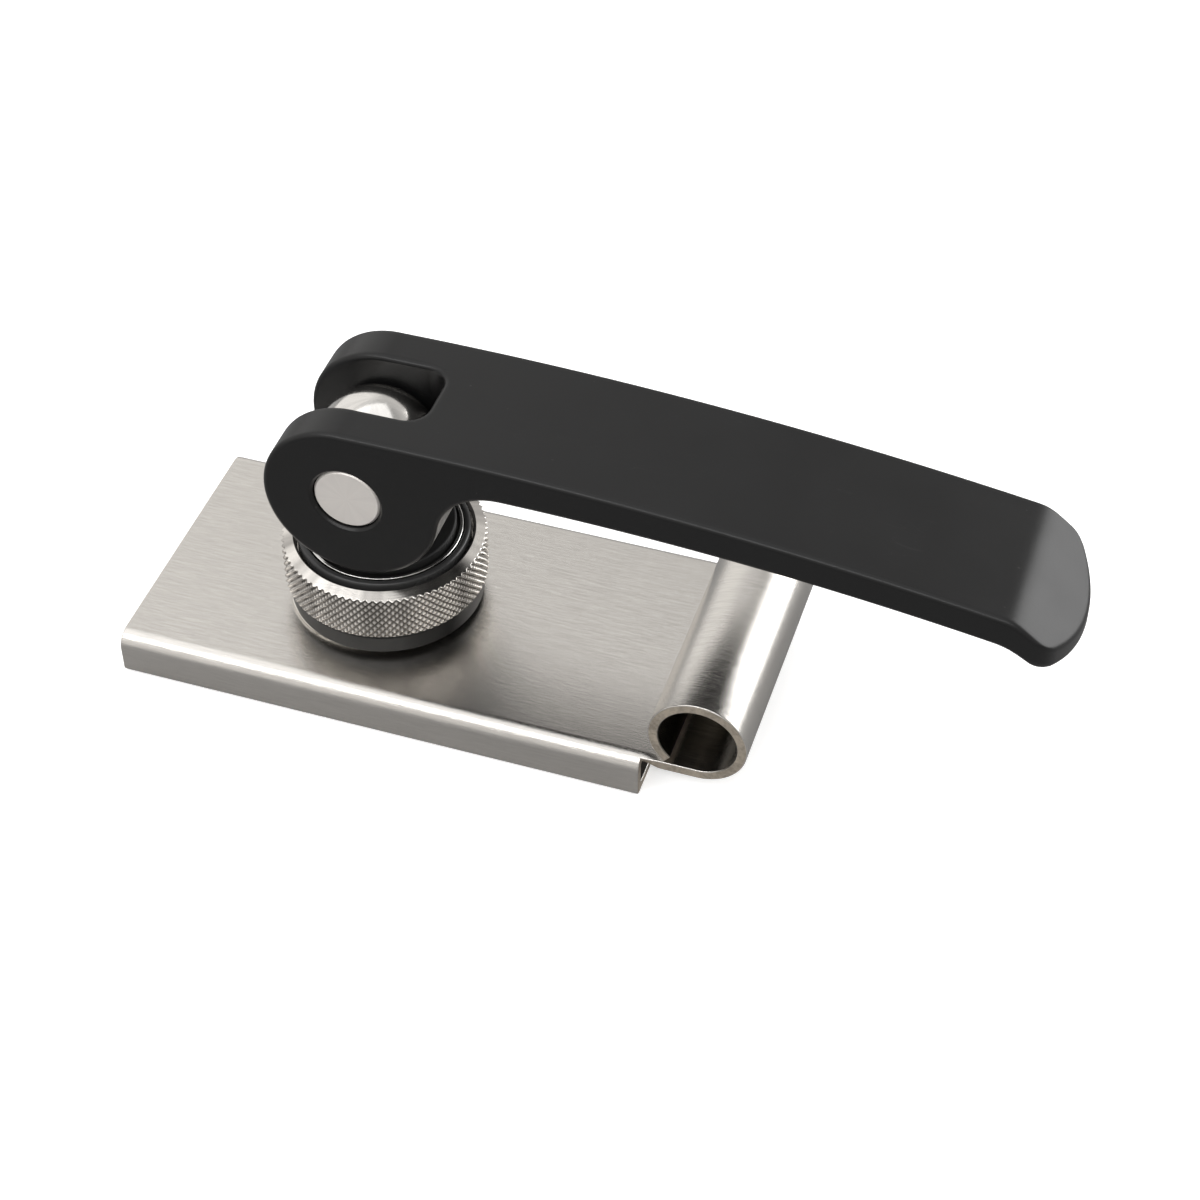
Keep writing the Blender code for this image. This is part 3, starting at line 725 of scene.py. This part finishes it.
cup_low, cup_high = corners("thrust_cup")
CUP_WALL = 0.95
CUP_FLOOR = 1.5
CUP_BLACK = (0.03, 0.03, 0.03)
cup_radius = (cup_high[0] - cup_low[0]) / 2
cup_outline = rounded([
    (BUSH_BORE, cup_low[2], 0.2), (cup_radius, cup_low[2], 0.3), (cup_radius, cup_high[2], 0.4),
    (cup_radius - CUP_WALL, cup_high[2], 0.3), (cup_radius - CUP_WALL, cup_low[2] + CUP_FLOOR, 0.1),
    (BUSH_BORE, cup_low[2] + CUP_FLOOR, 0.1)])
cup_coat = moulded_black("cup_black", 0.24, CUP_BLACK)
turned_piece("cup_ring", cup_outline, cup_coat, "cup", "thrust_cup")


# Cam pad
# Hard black disc in the cup that the two cam lobes press on. A step in its rim lets the ring hold it.

pad_low, pad_high = corners("cam_pad")
PAD_FLANGE = 0.6
PAD_STEP = 0.8
PAD_BLACK = (0.008, 0.008, 0.008)
pad_radius = (pad_high[0] - pad_low[0]) / 2
pad_outline = rounded([
    (BUSH_BORE, pad_low[2], 0.15), (pad_radius, pad_low[2], 0.1), (pad_radius, pad_low[2] + PAD_FLANGE, 0.1),
    (pad_radius - PAD_STEP, pad_low[2] + PAD_FLANGE, 0.05), (pad_radius - PAD_STEP, pad_high[2], 0.35),
    (BUSH_BORE, pad_high[2], 0.25)])
pad_coat = moulded_black("pad_black", 0.5, PAD_BLACK)
turned_piece("pad_disc", pad_outline, pad_coat, "cup", "cam_pad")


# Pad ring
# A thin bright steel ring, sprung into the cup over the pad's step.

ring_low, ring_high = corners("pad_ring")
RING_WIDTH = 0.5
RING_STEEL = (0.8, 0.79, 0.77)
ring_radius = (ring_high[0] - ring_low[0]) / 2
ring_outline = rounded([
    (ring_radius - RING_WIDTH, ring_low[2], 0.1), (ring_radius, ring_low[2], 0.1),
    (ring_radius, ring_high[2], 0.12), (ring_radius - RING_WIDTH, ring_high[2], 0.12)])
ring_coat = turned_steel("ring_steel", RING_STEEL, 0.16, stud_axis)
turned_piece("spring_ring", ring_outline, ring_coat, "cup", "pad_ring")


# Eye stud
# Polished steel stud: a ball eye with two flats sits between the fork's cheeks on the cross pin, and a
# round stem runs down through the adjuster to a grooved tail for the shoe.

stud_low, stud_high = corners("eye_stud")
pin_low, pin_high = corners("pivot_pin")
pin_z = (pin_low[2] + pin_high[2]) / 2
pin_radius = (pin_high[2] - pin_low[2]) / 2
shoe_low, shoe_high = corners("clamp_shoe")
clip_low = corners("shoe_clip")[0]
STEM_RADIUS = 4.0
EYE_HALF = 5.4
EYE_BORE = pin_radius + 0.3
TAIL_RADIUS = 3.2
GROOVE_DEPTH = 0.6
EYE_EDGE = 0.3
SHOE_PLAY = 0.3
STEM_DROP = 6.5  # pin axis to the stem's top, inside the ball
NEAR_AXIS = 0.02  # stands for the axis until to_axis closes a pole
POLISHED_STEEL = (0.76, 0.74, 0.71)


def eye_outline():
    """Section of the eye as (distance from the pin's axis, place along it): the ball's arc, flats and bore."""
    ball = stud_high[2] - pin_z
    rim = math.sqrt(ball ** 2 - EYE_HALF ** 2)
    lean = math.asin(EYE_HALF / ball) - 0.05
    turn = np.linspace(-lean, lean, 41)
    arc = np.stack([ball * np.cos(turn), ball * np.sin(turn)], -1)
    bore = np.array([(rim - EYE_EDGE, EYE_HALF), (EYE_BORE + 0.1, EYE_HALF), (EYE_BORE, EYE_HALF - 0.1)])
    return np.concatenate([arc, bore, (bore * [1, -1])[::-1]])


groove_radius = TAIL_RADIUS - GROOVE_DEPTH
groove_foot = clip_low[2] - SHOE_PLAY
stem_foot = shoe_high[2] + SHOE_PLAY
stem_top = pin_z - STEM_DROP
stem_outline = to_axis(rounded([
    (NEAR_AXIS, stud_low[2], 0.005), (TAIL_RADIUS, stud_low[2], 0.4), (TAIL_RADIUS, groove_foot, 0.1),
    (groove_radius, groove_foot, 0.1), (groove_radius, shoe_low[2], 0.1), (TAIL_RADIUS, shoe_low[2], 0.1),
    (TAIL_RADIUS, stem_foot, 0.1), (STEM_RADIUS, stem_foot, 0.2), (STEM_RADIUS, stem_top, 0.2),
    (NEAR_AXIS, stem_top, 0.005)]))
ball_coat = turned_steel("ball_steel", POLISHED_STEEL, 0.16, stud_axis, 3000.0, relief=0.1, reflection_share=0.3)
make_piece("ball_stud", [
    (revolved(eye_outline(), (stud_x, 0, pin_z), 160, axis=1), 0, {}),
    (revolved(stem_outline, stud_axis, 96), 0, {})],
    [ball_coat], "stud", ["eye_stud"])


# Pivot pin
# Plain steel cross pin, ground on its faces and chamfered, held in the lever's cheeks.

PIN_CHAMFER = 0.3
PIN_STEEL = (0.88, 0.84, 0.80)
pin_end = pin_high[1]
chamfer_y = pin_end - PIN_CHAMFER
face_radius = pin_radius - PIN_CHAMFER
pin_outline = to_axis(rounded([
    (NEAR_AXIS, -pin_end, 0.005), (face_radius, -pin_end, 0.08), (pin_radius, -chamfer_y, 0.08),
    (pin_radius, chamfer_y, 0.08), (face_radius, pin_end, 0.08), (NEAR_AXIS, pin_end, 0.005)]))
pin_centre = (stud_x, 0.0, pin_z)
pin_coat = turned_steel("pin_face_steel", PIN_STEEL, 0.42, pin_centre, 5000.0, (math.pi / 2, 0, 0), 0.12,
                        reflection_share=0.12, metal=0.6)
make_piece("cross_pin", [(revolved(pin_outline, pin_centre, 144, axis=1), 0, {})], [pin_coat], "lever",
           ["pivot_pin"])


# Lever
# Die-cast lever under a matt black powder coat: a forked double cam carries the pin, and the handle bows
# over to a turned-down tip. All its edges are rounded and the cross bore is chamfered.

lever_high = corners("lever")[1]
LEVER_ROUND = 0.75
CAM_RADIUS = 13.3
CAM_TOP = 11.55
NECK_FILLET = 9.5
BEAM_UNDERSIDE = 5.73
BACK_CURVE = 550.0
BELLY_CURVE = 425.0
CREST = 6.0
CREASE_TO_TIP = 8.0
CREASE_SOFT = 2.0  # half length over which the back turns down
TIP_SLOPE = 0.8
LIP_SLOPE = 0.62
LIP_START = 8.8
LIP_SOFT = 2.2
TIP_BULGE = 3.8
TIP_CORNER = 1.8
TIP_TOP_ROUND = 1.4
TIP_LOW_ROUND = 0.9
SLOT_END = 9.3
SLOT_CORNER = 3.2
SLOT_HALF = 5.7
BORE_FIT = 0.15
BORE_CHAMFER = 0.35
SUPPORT = 0.12  # width of the strip that keeps a flat face flat beside a round
HEEL_ROUND = 0.25
HEAD_END = 14.0
LEVER_BLACK = (0.0045, 0.0045, 0.0047)
WORN_BLACK = (0.035, 0.034, 0.033)
half_lever = lever_high[1]
lever_reach = lever_high[0] - stud_x


def integrated(x, slopes, start):
    """Heights along x from their slopes, by the trapezium rule, from a first height."""
    return start + np.append(0.0, np.cumsum((slopes[1:] + slopes[:-1]) / 2 * np.diff(x)))


def back_line():
    """The back as (x, z) from the fork to past the tip: a shallow bow whose slope eases to the tip's."""
    x = np.linspace(0.0, lever_reach + 1, 2400)
    crease = lever_reach - CREASE_TO_TIP
    bow = -(x - CREST) / BACK_CURVE
    turn = smooth_step((x - crease + CREASE_SOFT) / (2 * CREASE_SOFT))
    return x, integrated(x, bow * (1 - turn) - TIP_SLOPE * turn, CAM_TOP)


def belly_line(neck_x):
    """The underside as (x, z) from the neck to past the tip: a bow whose slope eases to the lip's."""
    x = np.linspace(neck_x, lever_reach + 1, 2400)
    root = lever_reach - LIP_START
    bow = -(x - neck_x) / BELLY_CURVE
    turn = smooth_step((x - root + LIP_SOFT) / (2 * LIP_SOFT))
    return x, integrated(x, bow * (1 - turn) - LIP_SLOPE * turn, BEAM_UNDERSIDE)


def nose_arc(slope_in, slope_out, radius, steps):
    """A corner's round as offsets from the corner, between two directions given by their angles."""
    half = (math.pi - abs(slope_out - slope_in)) / 2
    reach = radius / math.tan(half)
    start = -reach * np.array([math.cos(slope_in), math.sin(slope_in)])
    side = start + radius * np.array([math.sin(slope_in), -math.cos(slope_in)])
    turn = np.linspace(slope_in, slope_out, steps + 1) + math.pi / 2
    return side + radius * np.stack([np.cos(turn), np.sin(turn)], -1)


def lever_rows(fork_x, tip_x):
    """Outlines of the lever for an array of places across it: x and z with a row for each place.

    Columns run along the back from the fork's end, round the tip, back along the belly, up the neck's
    fillet, down the heel to the fork's end (web columns), and then round the cam (cheek columns).
    """
    neck_z = BEAM_UNDERSIDE - NECK_FILLET
    neck_x = math.sqrt((CAM_RADIUS + NECK_FILLET) ** 2 - neck_z ** 2)
    meet = math.atan2(neck_z, neck_x)
    back = back_line()
    belly = belly_line(neck_x)
    fork_x = fork_x[:, None]
    tip_x = tip_x[:, None]
    one = np.ones_like(tip_x)

    steps = edge_steps(LEVER_ROUND, 6)
    near = np.concatenate([steps, np.linspace(steps[-1], HEAD_END - SLOT_END, 9)[1:]]) / (HEAD_END - SLOT_END)
    head_x = fork_x + (HEAD_END - fork_x) * near
    down = math.atan(-TIP_SLOPE)
    top_round = nose_arc(down, -math.pi / 2, TIP_TOP_ROUND, 7)
    low_round = nose_arc(-math.pi / 2, -math.pi - math.atan(LIP_SLOPE), TIP_LOW_ROUND, 9)
    top_x = HEAD_END + (tip_x + top_round[0, 0] - HEAD_END) * np.linspace(0, 1, 111)[1:-1]
    low_x = neck_x + (tip_x + low_round[-1, 0] - neck_x) * np.linspace(1, 0, 89)[1:]
    top_z = np.interp(tip_x, *back)
    low_z = np.interp(tip_x, *belly)
    neck_turn = np.linspace(math.pi / 2, math.pi + meet, 25)[1:]
    heel_end = np.arcsin(fork_x / CAM_RADIUS)
    heel_turn = heel_end + (math.pi / 2 + meet - heel_end) * np.concatenate([
        np.linspace(1, 0.25, 10)[1:], np.linspace(0.25, 0, 9)[1:]])
    fork_turn = math.asin((SLOT_END - SLOT_CORNER) / CAM_RADIUS)
    under = np.linspace(fork_turn, 0, 8)[1:]
    round_left = np.linspace(0, math.pi, 65)[1:]
    cam = CAM_RADIUS - (CAM_RADIUS - CAM_TOP) * round_left / math.pi
    crown_x = np.linspace(0, SLOT_END - SLOT_CORNER, 6)[1:-1]
    x = [head_x, top_x, tip_x + top_round[:, 0], tip_x + low_round[:, 0], low_x,
         (neck_x + NECK_FILLET * np.cos(neck_turn)) * one, CAM_RADIUS * np.sin(heel_turn),
         CAM_RADIUS * np.sin(under) * one, -cam * np.sin(round_left) * one, crown_x * one]
    z = [np.interp(head_x, *back), np.interp(top_x, *back), top_z + top_round[:, 1], low_z + low_round[:, 1],
         np.interp(low_x, *belly), (neck_z + NECK_FILLET * np.sin(neck_turn)) * one,
         -CAM_RADIUS * np.cos(heel_turn), -CAM_RADIUS * np.cos(under) * one, -cam * np.cos(round_left) * one,
         np.interp(crown_x, *back) * one]
    counts = [part.shape[1] for part in x]
    return np.concatenate(x, 1), np.concatenate(z, 1), counts


def lever_patches():
    """The lever as skins and walls that meet at their borders.

    The skin is an outline for each place across the lever, sunk along its own normal by a quarter round near
    the cheeks' outer faces and the slot's mouth. Flat faces are webs between an outline and the bore.
    """
    steps = edge_steps(LEVER_ROUND, 6)
    inner = SLOT_HALF + steps
    cheek = np.concatenate([half_lever - steps, np.linspace(half_lever - steps[-1], inner[-1], 8)[1:-1],
                            inner[::-1]])
    corner = SLOT_HALF - SLOT_CORNER + SLOT_CORNER * np.sin(np.linspace(math.pi / 2, 0, 10))
    web = np.concatenate([corner, np.linspace(SLOT_HALF - SLOT_CORNER, 0, 4)[1:]])
    web = np.concatenate([web, -web[-2::-1]])
    bow = (half_lever ** 2 + TIP_BULGE ** 2) / (2 * TIP_BULGE)

    def skin(y):
        side = np.maximum(abs(y) - (SLOT_HALF - SLOT_CORNER), 0)
        fork = SLOT_END - SLOT_CORNER + np.sqrt(np.maximum(SLOT_CORNER ** 2 - side ** 2, 0))
        tip = lever_reach - bow + np.sqrt(bow ** 2 - y ** 2) - eased(TIP_CORNER, half_lever - abs(y))
        x, z, counts = lever_rows(fork, tip)
        solid = abs(y)[:, None] >= SLOT_HALF - 1e-9
        shared = sum(counts[:7])
        along_x = np.roll(x, -1, 1) - np.roll(x, 1, 1)
        along_z = np.roll(z, -1, 1) - np.roll(z, 1, 1)
        for k, one, two in ((0, 1, 0), (shared - 1, shared - 1, shared - 2)):
            along_x[:, k] = np.where(solid[:, 0], along_x[:, k], x[:, one] - x[:, two])
            along_z[:, k] = np.where(solid[:, 0], along_z[:, k], z[:, one] - z[:, two])
        size = np.hypot(along_x, along_z)
        normal_x = -along_z / size
        normal_z = along_x / size
        slot = np.hypot(np.maximum(x - (SLOT_END - SLOT_CORNER), 0), side[:, None]) - SLOT_CORNER
        column = np.arange(x.shape[1])
        slot = np.where(column >= shared, abs(y)[:, None] - SLOT_HALF, np.maximum(slot, 0))
        heel = (column >= sum(counts[:6])) & (column < shared)
        slot_sink = np.where(heel & ~solid, eased(HEEL_ROUND, slot), eased(LEVER_ROUND, slot))
        sink = np.maximum(slot_sink, eased(LEVER_ROUND, half_lever - abs(y))[:, None])
        return x, z, normal_x, normal_z, sink, counts, shared

    def points(x, y, z):
        return np.stack([x + stud_x, y + 0 * x, np.minimum(z + pin_z, lever_high[2])], -1)

    patches = []
    for sign in (1, -1):
        y = sign * cheek
        x, z, nx, nz, sink, counts, shared = skin(y)
        loop = np.append(np.arange(x.shape[1]), 0)
        body = points(x - sink * nx, y[:, None], z - sink * nz)
        rim = points(x[:1] - (LEVER_ROUND + SUPPORT) * nx[:1], y[:1, None],
                     z[:1] - (LEVER_ROUND + SUPPORT) * nz[:1])
        body = np.concatenate([rim, body])
        patches.append((body[:, loop], 0, {}))
        rim = body[0]
        last_head = counts[0] - 1
        start = shared
        head = np.concatenate([rim[start:], rim[:last_head + 1], rim[sum(counts[:6]) - 1:start + 1]])
        count = len(head) - 1
        first = math.atan2(rim[start][2] - pin_z, rim[start][0] - stud_x)
        turn = first - np.linspace(0, 2 * math.pi, count + 1)
        turn[-1] = turn[0]

        def circle(radius, across):
            return np.stack([stud_x + radius * np.cos(turn), across + 0 * turn,
                             pin_z + radius * np.sin(turn)], -1)

        bore = pin_radius + BORE_FIT
        mouth = circle(bore + BORE_CHAMFER, sign * half_lever)
        cheek_face = [head + (mouth - head) * share for share in (0.0, 0.5, 0.97, 1.0)]
        tube = [circle(bore + BORE_CHAMFER - 0.02, sign * (half_lever - 0.02)),
                circle(bore + 0.02, sign * (half_lever - BORE_CHAMFER + 0.02)),
                circle(bore, sign * (half_lever - BORE_CHAMFER - 0.03)),
                circle(bore, sign * (half_lever - 1.0)), circle(bore, sign * (SLOT_HALF + 0.1)),
                circle(bore, sign * SLOT_HALF)]
        patches.append((np.stack(cheek_face + tube), 0, {}))
        chain = rim[last_head:sum(counts[:6])]
        half = len(chain) // 2
        patches.append((np.stack([chain[:half + 1], chain[::-1][:half + 1]]), 0, {}))

        edge = body[-1]
        wall_count = count - (len(edge) - shared)
        high = edge[0]
        low = edge[shared - 1]
        share = np.concatenate([[0.0, 0.012], np.linspace(0.03, 0.97, wall_count - 4), [0.988, 1.0]])[:, None]
        line = high + (low - high) * share
        side_loop = np.concatenate([edge[shared:], line])
        side_loop = np.concatenate([side_loop, side_loop[:1]])
        centre = np.array([stud_x, sign * SLOT_HALF, pin_z])
        toward = (centre - side_loop) / np.linalg.norm(centre - side_loop, axis=1, keepdims=True)
        final = circle(bore, sign * SLOT_HALF)[:len(side_loop)]
        rings = [side_loop, side_loop + SUPPORT * toward]
        rings += [rings[1] + (final - rings[1]) * part for part in (0.5, 0.98, 1.0)]
        patches.append((np.stack(rings), 0, {}))

    x, z, nx, nz, sink, counts, shared = skin(web)
    body = points(x - sink * nx, web[:, None], z - sink * nz)[:, :shared]
    patches.append((body, 0, {}))
    high = body[:, 0]
    low = body[:, shared - 1]
    patches.append((high + (low - high) * share[:, None], 0, {}))
    return patches


def powder_black():
    """Matt black powder coat: fine orange peel, soft clouds in its gloss, and scratches and nicks worn grey."""
    coat, tree, shader = finish_material("lever_coat")
    where = object_place(tree)
    clouds = noise(tree, where, 70.0, 3.0)
    nick = ranged(tree, noise(tree, where, 900.0, 1.0), 0.0, 0.5, 0.8, 0.84)
    wear = maths(tree, "MULTIPLY_ADD", scratched(tree, where, 45.0, 0.002), 0.12, nick, clamp=True)
    rough = ranged(tree, clouds, 0.3, 0.39, 0.3, 0.7)
    peel = noise(tree, where, 2100.0, 3.0, 0.6)
    finished(tree, shader, mixed(tree, LEVER_BLACK, WORN_BLACK, wear), rough, peel, 0.22, 0.00002)
    shader.inputs["Specular IOR Level"].default_value = 0.32
    return coat


make_piece("lever_handle", lever_patches(), [powder_black()], "lever", ["lever"])


# Clamp shoe and its clip
# A zinc-plated flat shoe rides in the channel on the stud's tail and is drawn up under the sheet. A snap
# ring in the tail's groove holds it. Both are plain pressings, so they keep their frame shapes.

ZINC = (0.52, 0.52, 0.53)
CLIP_STEEL = (0.2, 0.2, 0.21)


def plated_steel(name, colour):
    """Plated pressing: cloudy spangle in its colour and gloss, with faint handling scratches."""
    coat, tree, shader = finish_material(name)
    where = object_place(tree)
    spangle = place(tree, "ShaderNodeTexVoronoi", {"Vector": where, "Scale": 700.0}).outputs["Distance"]
    clouds = noise(tree, where, 300.0, 3.0)
    both = maths(tree, "MULTIPLY_ADD", spangle, 0.4, clouds)
    tone = mixed(tree, colour, shaded(colour, 1.3), ranged(tree, both, 0.0, 1.0, 0.4, 1.0))
    rough = ranged(tree, clouds, 0.3, 0.46, 0.3, 0.7)
    finished(tree, shader, tone, rough, scratched(tree, where), 0.2, 0.00003)
    shader.inputs["Metallic"].default_value = 1.0
    return coat


for name, colour in (("clamp_shoe", ZINC), ("shoe_clip", CLIP_STEEL)):
    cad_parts[name].data.materials.clear()
    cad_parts[name].data.materials.append(plated_steel(name + "_plating", colour))


# Floor, light and camera
# A plain pale table under three soft panels, in a pale room that is darker overhead. The table glows a
# little for the camera only, so that it stays pale behind the object.

FLOOR_SIZE = 20.0
FLOOR_SEEN = 0.93
FLOOR_MIRRORED = 0.31
FLOOR_GLOW = 0.38
ROOM_PALE = (1.0, 0.985, 0.965)
ROOM_OVERHEAD = (0.42, 0.42, 0.425)
CAMERA_LENS = 75.55
CAMERA_PLACE = (0.07937, -0.24509, 0.26712)
CAMERA_TILT = 45.59
CAMERA_TURN = 18.09


def table_floor():
    """A square of table at the slide's foot: pale to the camera, a mid grey in the metal's reflections."""
    mesh = bpy.data.meshes.new("table_floor")
    half = FLOOR_SIZE / 2
    foot = slide_low[2] * MM
    mesh.from_pydata([(-half, -half, foot), (half, -half, foot), (half, half, foot), (-half, half, foot)], [],
                     [(0, 1, 2, 3)])
    coat, tree, shader = finish_material("table_paint")
    path = place(tree, "ShaderNodeLightPath")
    seen = mixed(tree, (FLOOR_MIRRORED,) * 3, (FLOOR_SEEN,) * 3, path.outputs["Is Camera Ray"])
    tree.links.new(seen, shader.inputs["Base Color"])
    glow = mixed(tree, (0.0,) * 3, (FLOOR_GLOW,) * 3, path.outputs["Is Camera Ray"])
    tree.links.new(glow, shader.inputs["Emission Color"])
    shader.inputs["Emission Strength"].default_value = 1.0
    shader.inputs["Roughness"].default_value = 0.9
    shader.inputs["Specular IOR Level"].default_value = 0.1
    mesh.materials.append(coat)
    floor = bpy.data.objects.new("table_floor", mesh)
    bpy.context.scene.collection.objects.link(floor)


def room_light():
    """Room light: pale near the horizon, darker towards the zenith, and stronger from the -X side."""
    room = bpy.data.worlds.new("room")
    room.use_nodes = True
    tree = room.node_tree
    aim = place(tree, "ShaderNodeTexCoord").outputs["Generated"]
    parts = place(tree, "ShaderNodeSeparateXYZ", {0: aim}).outputs
    tint = mixed(tree, ROOM_PALE, ROOM_OVERHEAD, ranged(tree, parts["Z"], 0.0, 1.0, 0.62, 1.0))
    background = tree.nodes["Background"].inputs
    tree.links.new(tint, background["Color"])
    tree.links.new(ranged(tree, parts["X"], 0.68, 1.05, -0.12, -0.42), background["Strength"])
    bpy.context.scene.world = room


def soft_panel(name, place_at, look_at, size, power):
    """A rectangular soft light at a place, facing another place."""
    lamp = bpy.data.lights.new(name, "AREA")
    lamp.shape = "RECTANGLE"
    lamp.size, lamp.size_y = size
    lamp.energy = power
    panel = bpy.data.objects.new(name, lamp)
    bpy.context.scene.collection.objects.link(panel)
    panel.location = place_at
    aim = Vector(look_at) - Vector(place_at)
    panel.rotation_euler = aim.to_track_quat("-Z", "Y").to_euler()


table_floor()
room_light()
soft_panel("key_panel", (-0.12, -0.1, 0.9), (0, 0, 0), (1.3, 1.3), 5.0)
soft_panel("side_panel", (0.66, 0.5, 0.3), (0.05, 0, 0.03), (0.8, 0.55), 5.5)
soft_panel("edge_strip", (-0.05, -0.55, 0.72), (0, 0, 0.02), (1.2, 0.12), 3.0)

camera = bpy.data.objects.new("camera", bpy.data.cameras.new("camera"))
camera.data.lens = CAMERA_LENS
camera.data.sensor_width = 36.0
camera.data.clip_start = 0.01
camera.location = CAMERA_PLACE
camera.rotation_euler = (math.radians(CAMERA_TILT), 0.0, math.radians(CAMERA_TURN))
bpy.context.scene.collection.objects.link(camera)
bpy.context.scene.camera = camera
bpy.context.scene.view_settings.view_transform = "Standard"
